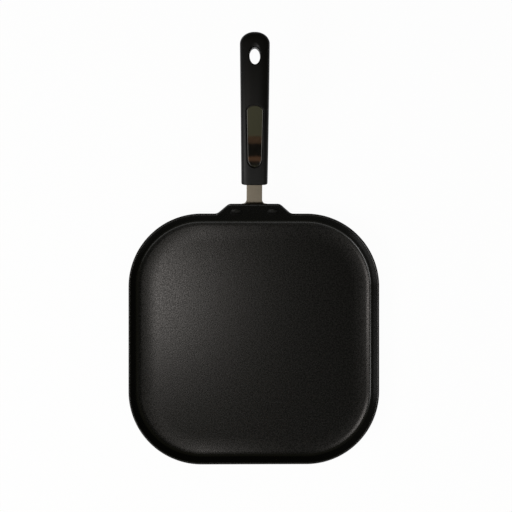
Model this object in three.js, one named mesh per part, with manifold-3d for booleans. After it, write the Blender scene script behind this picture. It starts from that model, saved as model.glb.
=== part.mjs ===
// Square griddle pan: a pressed aluminium pan, a steel strap riveted behind the tab of its back wall,
// a two-layer moulded grip round the strap's tang, and a steel plate let into the top of the grip.
// Sizes are in millimetres and angles in degrees. The origin is the middle of the flat base, +Z is up,
// and +Y runs out along the handle.

import * as THREE from "three";
import { mergeVertices } from "three/addons/utils/BufferGeometryUtils.js";
import Module from "manifold-3d";

const { degToRad, lerp, clamp } = THREE.MathUtils;
const wasm = await Module();
wasm.setup();

// Pan
const rimWidth = 280;
const rimCornerRadius = 81.5;
const panHeight = 19;
const wallThickness = 2.6;
const floorThickness = 3.4;
const wallAngle = 69;
const insideFilletRadius = 4.6;
const outsideFilletRadius = 7;
const floorToeRadius = 28;
const floorToeAngle = 14;
const floorSweepRadius = 115;
const floorSweepAngle = 5.4;

// Rivet tab in the back wall
const tabReach = 10.3;
const tabAngle = 62;
const tabTopWidth = 52.4;
const tabFootWidth = 86.6;
const tabRounding = 0.25;

// Rivets
const rivetSpacing = 40.6;
const rivetDrop = 13.3;
const rivetShankDiameter = 6;
const rivetHeadDiameter = 13;
const rivetHeadHeight = 2.3;
const rivetHeadEdge = 0.5;
const rivetTailDiameter = 10.4;
const rivetTailHeight = 2;

// Handle strap
const strapThickness = 2.5;
const strapEdge = 0.5;
const neckWidth = 17.2;
const neckAngle = 18;
const neckLength = 20.2;
const plateMargin = 8.7;
const plateFootRadius = 7;
const plateShoulderRadius = 6;
const plateShoulderDrop = 8.5;
const neckFilletRadius = 6;
const neckFootDrop = 2.3;
const bendDrop = 6.5;
const bendRadius = 8;
const tangLength = 108;
const tangEndRadius = 5;
const keySlotWidth = 6;
const keySlotLength = 14;
const firstKeySlot = 28;
const keySlotSpacing = 54;

// Grip
const gripLength = 165.5;
const gripArcRadius = 480;
const gripFrontWidth = 28.9;
const gripRearWidth = 32.7;
const gripEndDepth = 13;
const gripTopFront = 7.8;
const gripTopRear = 7;
const gripTopSwell = 1.4;
const gripBottomFront = 7.8;
const gripBottomRear = 7.2;
const gripBottomSwell = 3.4;
const gripFrontRounding = 1.4;
const sleeveThickness = 2.6;
// Powers of the grip's rounded outlines: square shoulders above, a fuller curve below, a blunt end
const topSquareness = 3.4;
const bottomSquareness = 2.4;
const endSquareness = 3;

// Hanging hole
const hangHoleWidth = 11.5;
const hangHoleLength = 18.2;
const hangHoleFromEnd = 26.2;
const hangHoleRounding = 1.4;
const hangHoleScoop = 3.2;

// Inlay
const inlayLength = 65.4;
const inlayFromFront = 20.6;
const inlayFrontWidth = 14.8;
const inlayRearWidth = 17.1;
const inlayFrontBow = 9;
const inlayRearBow = 5.6;
const inlayThickness = 1.1;
const inlayBevel = 1;
const inlayBevelDepth = 0.4;
const inlayProud = 0.2;
const padThickness = 0.5;
const padInset = 1.2;

// Fits
const seatGap = 0.3;
const inlayGap = 0.7;
const shankClearance = 0.3;
const cutOverrun = 4;

// Facets
const cornerSteps = 12;
const rampSteps = 9;
const roundSteps = 24;
const sectionSteps = 13;
const filletSteps = 5;
const toeSteps = 3;
const sweepSteps = 3;
const tailSteps = 3;
const neckSteps = 2;
const tangSteps = 8;
const gripSteps = 8;
const plateSteps = 6;
const gripNoseShares = [0, 0.3];
const gripEndShares = [0.3, 0.55, 0.75, 0.9, 0.98];
const mouthShares = [0, 0.4, 0.8, 1];
const roundTip = 7;
const mergeTolerance = 1e-5;

/** Point (y, z) at a distance and an angle from a centre, in the plane that runs along the handle. */
const polar = (centre, radius, angle) => ({
  y: centre.y + radius * Math.cos(angle),
  z: centre.z + radius * Math.sin(angle),
});

/** Evenly spaced numbers from first to last, both included. */
const spread = (first, last, steps) =>
  Array.from({ length: steps + 1 }, (_, i) => lerp(first, last, i / steps));

/** Triangles that fill a flat ring from a point in its middle, which is the vertex called hub. */
const fanCap = (count, hub) => Array.from({ length: count }, (_, i) => [i, (i + 1) % count, hub]).flat();

/** Triangles that fill a ring whose point i mirrors point count - 1 - i, as the rungs of a ladder. */
function ladderCap(count) {
  const triangles = [];
  for (let i = 0; i < count / 2 - 1; i += 1) {
    const across = count - 1 - i;
    triangles.push(i, i + 1, across - 1, i, across - 1, across);
  }
  return triangles;
}

/** Volume inside an indexed closed surface, which is negative when its faces point in. */
function signedVolume(positions, index) {
  const corner = [new THREE.Vector3(), new THREE.Vector3(), new THREE.Vector3()];
  let volume = 0;
  for (let i = 0; i < index.length; i += 3) {
    corner.forEach((point, k) => point.fromArray(positions, 3 * index[i + k]));
    volume += corner[0].dot(corner[1].cross(corner[2])) / 6;
  }
  return volume;
}

/** Closed skin through rings of equal count. Flat ends are fans, ends that bend with the grip are ladders. */
function loft(rings, bentEnds = false) {
  const count = rings[0].length;
  const points = rings.flat();
  const index = [];
  for (let ring = 0; ring < rings.length - 1; ring += 1) {
    for (let i = 0; i < count; i += 1) {
      const a = ring * count + i;
      const b = ring * count + ((i + 1) % count);
      index.push(a, b, b + count, a, b + count, a + count);
    }
  }
  const last = (rings.length - 1) * count;
  if (!bentEnds) {
    const middle = (ring) => ring.reduce((sum, p) => sum.add(p), new THREE.Vector3()).divideScalar(count);
    points.push(middle(rings[0]), middle(rings.at(-1)));
  }
  const firstCap = bentEnds ? ladderCap(count) : fanCap(count, points.length - 2);
  const lastCap = bentEnds ? ladderCap(count) : fanCap(count, points.length - 1 - last);
  index.push(...firstCap.toReversed(), ...lastCap.map((i) => i + last));
  const positions = points.flatMap((p) => [p.x, p.y, p.z]);
  if (signedVolume(positions, index) < 0) {
    index.reverse();
  }
  const geometry = new THREE.BufferGeometry();
  geometry.setAttribute("position", new THREE.Float32BufferAttribute(positions, 3));
  geometry.setIndex(index);
  return geometry;
}

/** Solid that can be joined and cut, from a closed geometry. */
function solid(geometry) {
  const bare = geometry.clone();
  bare.deleteAttribute("normal");
  bare.deleteAttribute("uv");
  const merged = mergeVertices(bare, mergeTolerance);
  const vertProperties = new Float32Array(merged.attributes.position.array);
  const triVerts = new Uint32Array(merged.index.array);
  return new wasm.Manifold(new wasm.Mesh({ numProp: 3, vertProperties, triVerts }));
}

/** Named mesh of a solid in one finish. */
function piece(name, body, finish) {
  const { vertProperties, triVerts } = body.getMesh();
  const geometry = new THREE.BufferGeometry();
  geometry.setAttribute("position", new THREE.BufferAttribute(vertProperties, 3));
  geometry.setIndex(new THREE.BufferAttribute(triVerts, 1));
  geometry.computeVertexNormals();
  const mesh = new THREE.Mesh(geometry, finish);
  mesh.name = name;
  return mesh;
}

// Finishes

const nonstickBlack = new THREE.MeshStandardMaterial({ color: 0x1d1c1c, roughness: 0.45, metalness: 0.1 });
const satinSteel = new THREE.MeshStandardMaterial({ color: 0x8f8676, roughness: 0.35, metalness: 1 });
const coatedRivet = new THREE.MeshStandardMaterial({ color: 0x191919, roughness: 0.4, metalness: 0.2 });
const corePhenolic = new THREE.MeshStandardMaterial({ color: 0x2a2420, roughness: 0.6, metalness: 0 });
const softTouchSilicone = new THREE.MeshStandardMaterial({ color: 0x1f1f1f, roughness: 0.75, metalness: 0 });
const polishedSteel = new THREE.MeshStandardMaterial({ color: 0xb8b4a6, roughness: 0.12, metalness: 1 });
const bondingFoam = new THREE.MeshStandardMaterial({ color: 0xc8c6bf, roughness: 0.9, metalness: 0 });

// Pan body: one wall section follows the rim's outline and leans out into the tab behind the handle

const rimHalf = rimWidth / 2;
const cornerCentre = rimHalf - rimCornerRadius;
const lipRadius = wallThickness / 2;
const wallLean = degToRad(wallAngle);
const tabLean = degToRad(tabAngle);
const toeAngle = degToRad(floorToeAngle);
const sweepAngle = degToRad(floorSweepAngle);
const quarterTurn = Math.PI / 2;
const rimLip = { y: rimHalf - lipRadius, z: panHeight - lipRadius };

/** How far out a fillet's centre lies, at height z, to touch a wall face offset from the lip's middle. */
function filletReach(lip, lean, offset, radius, z) {
  return lip.y + (offset - radius + (z - lip.z) * Math.cos(lean)) / Math.sin(lean);
}

// The floor curves up through a wide sweep and a tighter toe before the inside fillet.
const insideFilletHeight =
  floorThickness +
  floorSweepRadius -
  (floorSweepRadius - floorToeRadius) * Math.cos(sweepAngle) -
  (floorToeRadius - insideFilletRadius) * Math.cos(toeAngle);
const insideFilletCentre = {
  y: filletReach(rimLip, wallLean, -lipRadius, insideFilletRadius, insideFilletHeight),
  z: insideFilletHeight,
};

// The tab rises from the same inside fillet as the wall, at its own lean.
const tabLipReach = rimLip.y + tabReach;
const tabRun = (tabLipReach - insideFilletCentre.y) * Math.sin(tabLean) - lipRadius - insideFilletRadius;
const tabLip = { y: tabLipReach, z: insideFilletCentre.z + tabRun / Math.cos(tabLean) };

/** Section of floor edge, wall and lip, from the base out and up, over the lip and in to the flat floor. */
function wallSection(lip, lean) {
  const outward = lean - quarterTurn;
  const outsideFilletCentre = {
    y: filletReach(lip, lean, lipRadius, outsideFilletRadius, outsideFilletRadius),
    z: outsideFilletRadius,
  };
  const toeEnd = toeAngle - quarterTurn;
  const sweepEnd = sweepAngle - quarterTurn;
  const toeCentre = polar(insideFilletCentre, insideFilletRadius - floorToeRadius, toeEnd);
  const sweepCentre = polar(toeCentre, floorToeRadius - floorSweepRadius, sweepEnd);
  const arc = (centre, radius, from, to, steps) =>
    spread(from, to, steps).map((a) => polar(centre, radius, a));
  return [
    ...arc(outsideFilletCentre, outsideFilletRadius, -quarterTurn, outward, filletSteps),
    ...arc(lip, lipRadius, outward, outward + Math.PI, filletSteps + 1),
    ...arc(insideFilletCentre, insideFilletRadius, outward, toeEnd, filletSteps),
    ...arc(toeCentre, floorToeRadius, toeEnd, sweepEnd, toeSteps).slice(1),
    ...arc(sweepCentre, floorSweepRadius, sweepEnd, -quarterTurn, sweepSteps).slice(1),
  ];
}

/** Straight ramp from 0 to 1 whose two ends are rounded over a share of its run. */
function roundedRamp(t, share) {
  const u = clamp(t, 0, 1);
  const bow = 2 * share * (1 - share);
  if (u < share) {
    return (u * u) / bow;
  }
  return u > 1 - share ? 1 - ((1 - u) * (1 - u)) / bow : (u - share / 2) / (1 - share);
}

/** Ring round the pan for one point of the section, given on the plain wall and on the tab. */
function panRing(onWall, onTab) {
  const radius = onWall.y - cornerCentre;
  const corner = (signX, signY, from) =>
    spread(from, from + quarterTurn, cornerSteps).map(
      (a) =>
        new THREE.Vector3(
          signX * cornerCentre + radius * Math.cos(a),
          signY * cornerCentre + radius * Math.sin(a),
          onWall.z,
        ),
    );
  const ramp = spread(0, 1, rampSteps).map((t) => ({
    x: lerp(tabFootWidth, tabTopWidth, t) / 2,
    share: roundedRamp(t, tabRounding),
  }));
  const tabPoint = (x, share) =>
    new THREE.Vector3(x, lerp(onWall.y, onTab.y, share), lerp(onWall.z, onTab.z, share));
  return [
    ...corner(1, -1, -quarterTurn),
    ...corner(1, 1, 0),
    ...ramp.map(({ x, share }) => tabPoint(x, share)),
    ...ramp.toReversed().map(({ x, share }) => tabPoint(-x, share)),
    ...corner(-1, 1, quarterTurn),
    ...corner(-1, -1, Math.PI),
  ];
}

// Rivets, which clamp the tab to the strap's plate

const rivetInside = lipRadius + seatGap;
const rivetOutside = lipRadius + strapThickness + 2 * seatGap;

/** Solid rivet about +Y, from its upset tail through the tab's middle plane to its low domed head. */
function rivetGeometry() {
  const shank = rivetShankDiameter / 2;
  const head = rivetHeadDiameter / 2;
  const tail = rivetTailDiameter / 2;
  const domeHeight = rivetHeadHeight - rivetHeadEdge;
  const domeRadius = (head * head + domeHeight * domeHeight) / (2 * domeHeight);
  const domeSpan = Math.asin(head / domeRadius);
  const domeCentre = rivetInside + rivetHeadHeight - domeRadius;
  const dome = spread(domeSpan, 0, filletSteps).map(
    (a) => new THREE.Vector2(domeRadius * Math.sin(a), domeCentre + domeRadius * Math.cos(a)),
  );
  const tailBarrel = spread(-quarterTurn, 0, tailSteps).map(
    (a) =>
      new THREE.Vector2(
        shank + (tail - shank) * Math.cos(a),
        -rivetOutside - rivetTailHeight / 2 + (rivetTailHeight / 2) * Math.sin(a),
      ),
  );
  const profile = [
    new THREE.Vector2(0, -rivetOutside - rivetTailHeight),
    ...tailBarrel,
    new THREE.Vector2(tail, -rivetOutside),
    new THREE.Vector2(shank, -rivetOutside),
    new THREE.Vector2(shank, rivetInside),
    new THREE.Vector2(head, rivetInside),
    ...dome.slice(0, -1),
    new THREE.Vector2(0, rivetInside + rivetHeadHeight),
  ];
  return new THREE.LatheGeometry(profile, roundSteps);
}

/** Group at one rivet's place on the tab's middle plane, with +Y along the rivet into the pan. */
function rivetSeat(side) {
  const seat = new THREE.Group();
  const along = polar(tabLip, -rivetDrop, tabLean);
  seat.position.set((side * rivetSpacing) / 2, along.y, along.z);
  seat.rotation.x = quarterTurn + tabLean;
  seat.updateMatrix();
  return seat;
}

/** Drill for a rivet's hole through the tab and the strap's plate. */
function rivetDrill(seat) {
  const depth = 2 * (rivetOutside + cutOverrun / 2);
  const radius = rivetShankDiameter / 2 + shankClearance;
  return solid(new THREE.CylinderGeometry(radius, radius, depth, roundSteps).applyMatrix4(seat.matrix));
}

const rivetSeats = { rivet_left: rivetSeat(-1), rivet_right: rivetSeat(1) };
const rivetDrills = Object.values(rivetSeats).map(rivetDrill);
const drilled = (body) => rivetDrills.reduce((left, drill) => left.subtract(drill), body);

const tabSection = wallSection(tabLip, tabLean);
const panShell = loft(wallSection(rimLip, wallLean).map((point, i) => panRing(point, tabSection[i])));

// Spine of the handle: up the back of the tab, over the bend, along the neck and then along the grip's arc

const neckLean = degToRad(neckAngle);
const plateRun = rivetDrop + plateMargin - bendDrop;
const bendTurn = tabLean - neckLean;
const gripStart = plateRun + bendRadius * bendTurn + neckLength;
const legs = [
  { length: plateRun, curve: 0 },
  { length: bendRadius * bendTurn, curve: -1 / bendRadius },
  { length: neckLength, curve: 0 },
  { length: gripLength, curve: -1 / gripArcRadius },
];

/** Place (y, z) and lean of the spine at a distance along it from the plate's foot. */
function spine(distance) {
  const strapOffset = lipRadius + seatGap + strapThickness / 2;
  const foot = polar(tabLip, -(rivetDrop + plateMargin), tabLean);
  let place = polar(foot, strapOffset, tabLean - quarterTurn);
  let lean = tabLean;
  let left = distance;
  for (const [i, leg] of legs.entries()) {
    const run = i === legs.length - 1 ? left : Math.min(left, leg.length);
    const turn = run * leg.curve;
    const chord = turn === 0 ? run : (2 * Math.sin(turn / 2)) / leg.curve;
    place = polar(place, chord, lean + turn / 2);
    lean += turn;
    left -= run;
    if (left <= 0) {
      break;
    }
  }
  return { ...place, lean };
}

/** Point of the handle: distance along the spine, x across it, and height square to it. */
function onSpine(distance, x, height) {
  const { y, z, lean } = spine(distance);
  return new THREE.Vector3(x, y - height * Math.sin(lean), z + height * Math.cos(lean));
}

// Handle strap

/** Arc points that round the corner between two straight edges of an outline in (x, distance). */
function roundCorner(before, corner, after, radius) {
  const toBefore = before.clone().sub(corner).normalize();
  const toAfter = after.clone().sub(corner).normalize();
  const half = toBefore.angleTo(toAfter) / 2;
  const bisector = toBefore.clone().add(toAfter).normalize();
  const centre = corner.clone().addScaledVector(bisector, radius / Math.sin(half));
  const start = corner.clone().addScaledVector(toBefore, radius / Math.tan(half)).sub(centre);
  const turn = Math.sign(toAfter.cross(toBefore)) * (Math.PI - 2 * half);
  const pivot = new THREE.Vector2();
  return spread(0, turn, filletSteps).map((a) => start.clone().rotateAround(pivot, a).add(centre));
}

/** Half of the strap's flat outline, from the foot of its rivet plate to the end of its tang. */
function strapOutline() {
  const plateHalf = rivetSpacing / 2 + plateMargin;
  const neckHalf = neckWidth / 2;
  const tangEnd = gripStart + tangLength;
  const shoulder = rivetDrop + plateMargin - plateShoulderDrop;
  const corners = [
    [0, 0],
    [plateHalf, 0],
    [plateHalf, shoulder],
    [neckHalf, rivetDrop + plateMargin - neckFootDrop],
    [neckHalf, tangEnd],
    [0, tangEnd],
  ].map(([x, distance]) => new THREE.Vector2(x, distance));
  const radii = [plateFootRadius, plateShoulderRadius, neckFilletRadius, tangEndRadius];
  const rounded = radii.map((radius, i) => roundCorner(corners[i], corners[i + 1], corners[i + 2], radius));
  const neck = spread(gripStart - neckLength, gripStart, neckSteps);
  const tang = spread(gripStart, tangEnd, tangSteps).slice(1, -1);
  const [foot, plateShoulder, neckFillet, tangTip] = rounded;
  const plain = [...neck, ...tang].filter((at) => at > neckFillet.at(-1).y && at < tangTip[0].y);
  const sides = plain.map((at) => new THREE.Vector2(neckHalf, at));
  return [...foot, ...plateShoulder, ...neckFillet, ...sides, ...tangTip];
}

/** Flat bar section across the spine, with its four edges broken. */
function barRing(distance, half, thickness, edge) {
  const top = thickness / 2;
  const right = [
    [half - edge, -top],
    [half, edge - top],
    [half, top - edge],
    [half - edge, top],
  ];
  const left = right.toReversed().map(([x, height]) => [-x, height]);
  return [...right, ...left].map(([x, height]) => onSpine(distance, x, height));
}

// Grip sections, rings and cutters

const sleeveFront = gripStart + sleeveThickness;
const gripEnd = gripStart + gripLength;
const alongGrip = (distance) => clamp((distance - gripStart) / gripLength, 0, 1);
const swollen = (front, rear, swell, t) => lerp(front, rear, t) + 4 * swell * t * (1 - t);
const gripTop = (at) => swollen(gripTopFront, gripTopRear, gripTopSwell, alongGrip(at));
const gripBottom = (at) => swollen(gripBottomFront, gripBottomRear, gripBottomSwell, alongGrip(at));
const gripHalf = (at) => lerp(gripFrontWidth, gripRearWidth, alongGrip(at)) / 2;

const sectionStep = Math.PI / sectionSteps;
const halfSection = Array.from({ length: sectionSteps }, (_, i) => (i + 0.5) * sectionStep - quarterTurn);

/** Section of the grip, shrunk by an inset and drawn in towards the grip's rounded end. */
function gripRing(distance, inset, widthShare, heightShare) {
  const half = (gripHalf(distance) - inset) * widthShare;
  const right = halfSection.map((a) => {
    const power = 2 / (a > 0 ? topSquareness : bottomSquareness);
    const height = (a > 0 ? gripTop(distance) : -gripBottom(distance)) + (a > 0 ? -inset : inset);
    return [half * Math.cos(a) ** power, height * heightShare * Math.abs(Math.sin(a)) ** power];
  });
  const left = right.toReversed().map(([x, height]) => [-x, height]);
  return [...right, ...left].map(([x, height]) => onSpine(distance, x, height));
}

/** Grip shape from a front distance to its rounded end, all of it an inset below the outer skin. */
function gripBody(front, inset, rounding = 0) {
  const endStart = gripEnd - gripEndDepth;
  const noseShares = rounding > 0 ? gripNoseShares : [];
  const noseInset = (t) => inset + (1 - t) ** 2 * rounding;
  const noseRings = noseShares.map((t) => gripRing(front + t * rounding, noseInset(t), 1, 1));
  const bodyRings = spread(front + rounding, endStart, gripSteps).map((at) => gripRing(at, inset, 1, 1));
  const endRings = gripEndShares.map((t) =>
    gripRing(
      endStart + t * (gripEndDepth - inset),
      inset,
      Math.sqrt(1 - t * t),
      (1 - t ** endSquareness) ** (1 / endSquareness),
    ),
  );
  return solid(loft([...noseRings, ...bodyRings, ...endRings]));
}

/** Ring of an outline that is given by its half-widths along the spine, at a height for each distance. */
function outlineRing(stations, heightAt) {
  const edge = (side) => ({ distance, half }) => onSpine(distance, side * half, heightAt(distance));
  return [...stations.map(edge(1)), ...stations.toReversed().map(edge(-1))];
}

/** Block with an outline that bends with the grip, between two heights or more. */
function outlineBlock(levels) {
  return solid(loft(levels.map(({ stations, heightAt }) => outlineRing(stations, heightAt)), true));
}

/** Stations of an outline with bowed ends, each given by its tip, its width and how far it bows. */
function bowedOutline(front, rear, growth) {
  const frontHalf = front.width / 2;
  const rearHalf = rear.width / 2;
  const frontCentre = front.tip + front.bow;
  const rearCentre = rear.tip - rear.bow;
  const tilt = Math.asin((rearHalf - frontHalf) / (rearCentre - frontCentre));
  const tip = degToRad(roundTip);
  const end = (centre, bow, half, from, to) =>
    spread(from, to, filletSteps + 1).map((a) => ({
      distance: centre + (bow + growth) * Math.sin(a),
      half: (half + growth) * Math.cos(a),
    }));
  const frontEnd = end(frontCentre, front.bow, frontHalf, tip - quarterTurn, -tilt);
  const rearEnd = end(rearCentre, rear.bow, rearHalf, -tilt, quarterTurn - tip);
  const sides = spread(0, 1, plateSteps).slice(1, -1);
  const between = sides.map((t) => ({
    distance: lerp(frontEnd.at(-1).distance, rearEnd[0].distance, t),
    half: lerp(frontEnd.at(-1).half, rearEnd[0].half, t),
  }));
  return [...frontEnd, ...between, ...rearEnd];
}

const inlayFront = gripStart + inlayFromFront;
const inlayOutline = (growth) =>
  bowedOutline(
    { tip: inlayFront, width: inlayFrontWidth, bow: inlayFrontBow },
    { tip: inlayFront + inlayLength, width: inlayRearWidth, bow: inlayRearBow },
    growth,
  );
const belowTop = (depth) => (distance) => gripTop(distance) - depth;
const aboveBottom = (depth) => (distance) => depth - gripBottom(distance);

/** Block in the inlay's outline, from one depth below the grip's top to another. */
function inlayBlock(growth, lowDepth, highDepth) {
  const stations = inlayOutline(growth);
  return outlineBlock([
    { stations, heightAt: belowTop(lowDepth) },
    { stations, heightAt: belowTop(highDepth) },
  ]);
}

/** Stations of the hanging hole's long outline, grown all round, with more at its far end. */
function hangHole(growth, farGrowth) {
  const centre = gripEnd - hangHoleFromEnd;
  return halfSection.map((a) => ({
    distance: centre + (hangHoleLength / 2 + (a > 0 ? farGrowth : growth)) * Math.sin(a),
    half: (hangHoleWidth / 2 + growth) * Math.cos(a),
  }));
}

/** Cutter for the hanging hole: rounded at both faces and scooped at the far end of its upper mouth. */
function hangHoleCutter() {
  const round = hangHoleRounding;
  const flare = (t) => round * (1 - Math.sqrt(1 - t * t));
  const lower = mouthShares.toReversed().map((t) => ({
    stations: hangHole(flare(t), flare(t)),
    heightAt: aboveBottom(round * (1 - t)),
  }));
  const upper = mouthShares.map((t) => ({
    stations: hangHole(flare(t), flare(t) + hangHoleScoop * t * t),
    heightAt: belowTop(2 * round * (1 - t)),
  }));
  const above = { ...upper.at(-1), heightAt: belowTop(-cutOverrun) };
  const below = { ...lower[0], heightAt: aboveBottom(-cutOverrun) };
  return outlineBlock([below, ...lower, ...upper, above]);
}

/** Block that follows the hanging hole with a growth all round, through the whole grip. */
function hangHoleLining(growth) {
  const stations = hangHole(growth, growth);
  return outlineBlock([
    { stations, heightAt: aboveBottom(-cutOverrun) },
    { stations, heightAt: belowTop(-cutOverrun) },
  ]);
}

/** Round-ended key through the tang, grown or shrunk, reaching as far as given each way. */
function tangKey(slot, growth, reach) {
  const centre = gripStart + firstKeySlot + slot * keySlotSpacing;
  const end = (reach) => ({ tip: centre + reach, width: keySlotWidth, bow: keySlotWidth / 2 });
  const stations = bowedOutline(end(-keySlotLength / 2), end(keySlotLength / 2), growth);
  return outlineBlock([
    { stations, heightAt: () => -reach },
    { stations, heightAt: () => reach },
  ]);
}

/** Strap-shaped block from one distance to another along the spine, with a gap all round the strap. */
function strapSpace(from, to) {
  const rings = spread(from, to, tangSteps).map((distance) =>
    barRing(distance, neckWidth / 2 + seatGap, strapThickness + 2 * seatGap, strapEdge),
  );
  return solid(loft(rings));
}

const keySlots = [0, 1];
const strapBlank = solid(loft(strapOutline().map(({ x, y }) => barRing(y, x, strapThickness, strapEdge))));
const slotted = (left, slot) => left.subtract(tangKey(slot, 0, cutOverrun));
const strap = keySlots.reduce(slotted, drilled(strapBlank));

// Depths below the top of the grip, from the plate down to the core
const plateUnderside = inlayThickness - inlayProud;
const padTop = plateUnderside + seatGap;
const padUnderside = padTop + padThickness;
const landTop = padUnderside + seatGap;

/** Rigid core: fills the sleeve, takes the tang in a keyed pocket, and carries the land under the inlay. */
function gripCore() {
  const inset = sleeveThickness + seatGap;
  const pocket = strapSpace(gripStart, gripStart + tangLength + seatGap);
  const land = inlayBlock(-seatGap, sleeveThickness + cutOverrun / 2, landTop);
  const body = gripBody(gripStart + inset, inset).add(land);
  const hollowed = body.subtract(pocket).subtract(hangHoleLining(inset));
  return keySlots.reduce((core, slot) => core.add(tangKey(slot, -seatGap, cutOverrun)), hollowed);
}

/** Soft sleeve: closes over the core, lines the hanging hole, and opens for the strap and the inlay. */
function gripSleeve() {
  const cavity = gripBody(sleeveFront, sleeveThickness).subtract(hangHoleLining(sleeveThickness));
  const window = inlayBlock(inlayGap, sleeveThickness + cutOverrun / 2, -cutOverrun);
  const throat = strapSpace(gripStart - cutOverrun, sleeveFront + cutOverrun);
  return gripBody(gripStart, 0, gripFrontRounding)
    .subtract(cavity)
    .subtract(throat)
    .subtract(window)
    .subtract(hangHoleCutter());
}

/** Inlay plate that bends with the grip, with a bevel round its upper edge. */
function inlayPlate() {
  return outlineBlock([
    { stations: inlayOutline(0), heightAt: belowTop(plateUnderside) },
    { stations: inlayOutline(0), heightAt: belowTop(inlayBevelDepth - inlayProud) },
    { stations: inlayOutline(-inlayBevel), heightAt: belowTop(-inlayProud) },
  ]);
}

const pan = new THREE.Group();
pan.add(piece("pan_body", drilled(solid(panShell)), nonstickBlack));
for (const [name, seat] of Object.entries(rivetSeats)) {
  seat.add(piece(name, solid(rivetGeometry()), coatedRivet));
  pan.add(seat);
}

const handle = new THREE.Group();
handle.add(piece("handle_strap", strap, satinSteel));
handle.add(piece("grip_core", gripCore(), corePhenolic));
handle.add(piece("grip_sleeve", gripSleeve(), softTouchSilicone));
handle.add(piece("inlay_pad", inlayBlock(-padInset, padUnderside, padTop), bondingFoam));
handle.add(piece("inlay_plate", inlayPlate(), polishedSteel));

const griddle = new THREE.Group();
griddle.add(pan, handle);

export default griddle;
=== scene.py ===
"""Looks of a square griddle pan: a coated pan, its rivets, a steel strap, a soft grip and a polished inlay.

Sizes are in millimetres and degrees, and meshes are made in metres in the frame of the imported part: the
origin is the middle of the pan's flat base, +Z is up, and +Y runs out along the handle.
"""

import logging
import math
from collections.abc import Callable, Sequence
from dataclasses import dataclass, replace
from enum import Enum

import bmesh
import bpy
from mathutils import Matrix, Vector


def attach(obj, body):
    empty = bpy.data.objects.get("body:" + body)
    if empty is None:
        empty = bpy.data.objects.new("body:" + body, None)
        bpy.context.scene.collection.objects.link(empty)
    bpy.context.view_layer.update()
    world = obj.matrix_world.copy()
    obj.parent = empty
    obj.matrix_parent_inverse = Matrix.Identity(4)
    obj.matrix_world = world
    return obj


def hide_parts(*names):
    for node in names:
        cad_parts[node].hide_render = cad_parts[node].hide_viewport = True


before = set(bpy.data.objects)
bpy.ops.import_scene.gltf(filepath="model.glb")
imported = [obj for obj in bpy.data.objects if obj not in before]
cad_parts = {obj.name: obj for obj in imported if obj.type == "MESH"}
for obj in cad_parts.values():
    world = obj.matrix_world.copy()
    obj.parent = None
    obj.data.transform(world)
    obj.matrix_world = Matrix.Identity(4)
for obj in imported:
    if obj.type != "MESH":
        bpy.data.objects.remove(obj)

MM = 0.001
QUARTER_TURN = math.pi / 2
BODY = "root"
LOG = logging.getLogger("griddle_pan")

# Millimetres between pieces that seat on each other, and through the strap that the rivets clamp
SEAT_GAP = 0.3
STRAP_THICKNESS = 2.5
# Metres under which two points of a mesh are one
WELD = 1e-6
# Corners of a level sheet, as shares of half its width and half its length
CORNERS = ((-1, -1), (1, -1), (1, 1), (-1, 1))

Ring = list[Vector]
Stations = list[tuple[float, float]]
Height = Callable[[float, float], float]


class Cap(Enum):
    """How the two open ends of a skin are closed."""

    HUB = "hub"
    LADDER = "ladder"


# Numbers and points


def spread(first: float, last: float, steps: int) -> list[float]:
    """Evenly spaced numbers from first to last, both included."""
    return [first + (last - first) * i / steps for i in range(steps + 1)]


def polar(centre: Vector, radius: float, angle: float) -> Vector:
    """Point at a distance and an angle in radians from a centre, in one plane."""
    return centre + radius * Vector((math.cos(angle), math.sin(angle)))


def arc(centre: Vector, radius: float, first: float, last: float, steps: int) -> list[Vector]:
    """Points along an arc from its first to its last angle in radians, both included."""
    return [polar(centre, radius, angle) for angle in spread(first, last, steps)]


def round_corner(before: Vector, corner: Vector, after: Vector, radius: float, steps: int) -> list[Vector]:
    """Arc that rounds the corner between two straight edges of an outline.

    Args:
        before: The outline's point before the corner.
        corner: The sharp corner.
        after: The outline's point after it.
        radius: The arc's radius.
        steps: How many chords the arc has.

    Returns:
        The arc's points, from the first edge to the second.
    """
    to_before = (before - corner).normalized()
    to_after = (after - corner).normalized()
    half = to_before.angle(to_after) / 2
    centre = corner + (to_before + to_after).normalized() * radius / math.sin(half)
    start = corner + to_before * radius / math.tan(half) - centre
    end = corner + to_after * radius / math.tan(half) - centre
    first = math.atan2(start.y, start.x)
    turn = (math.atan2(end.y, end.x) - first + math.pi) % (2 * math.pi) - math.pi
    return arc(centre, radius, first, first + turn, steps)


# Meshes


def skin(name: str, rings: Sequence[Ring], cap: Cap) -> bpy.types.Mesh:
    """Closed mesh through rings of equal count, with its faces pointing out.

    Args:
        name: The mesh's name.
        rings: The rings, in millimetres. Where the cap is a ladder, point i of a ring mirrors point -1 - i.
        cap: How the first and the last ring are closed.

    Returns:
        The mesh, in metres and shaded smooth.
    """
    count = len(rings[0])
    points = [point for ring in rings for point in ring]
    faces = []
    for low in range(0, len(points) - count, count):
        for i in range(count):
            after = (i + 1) % count
            faces.append((low + i, low + after, low + count + after, low + count + i))
    for start, ring in ((0, rings[0]), (len(points) - count, rings[-1])):
        if cap is Cap.LADDER:
            rungs = range(count // 2 - 1)
            faces += [(start + i, start + i + 1, start + count - 2 - i, start + count - 1 - i) for i in rungs]
        else:
            points.append(sum(ring, Vector((0, 0, 0))) / count)
            hub = len(points) - 1
            faces += [(start + i, start + (i + 1) % count, hub) for i in range(count)]
    mesh = bpy.data.meshes.new(name)
    mesh.from_pydata([point * MM for point in points], [], faces)
    point_outwards(mesh)
    return mesh


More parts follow.
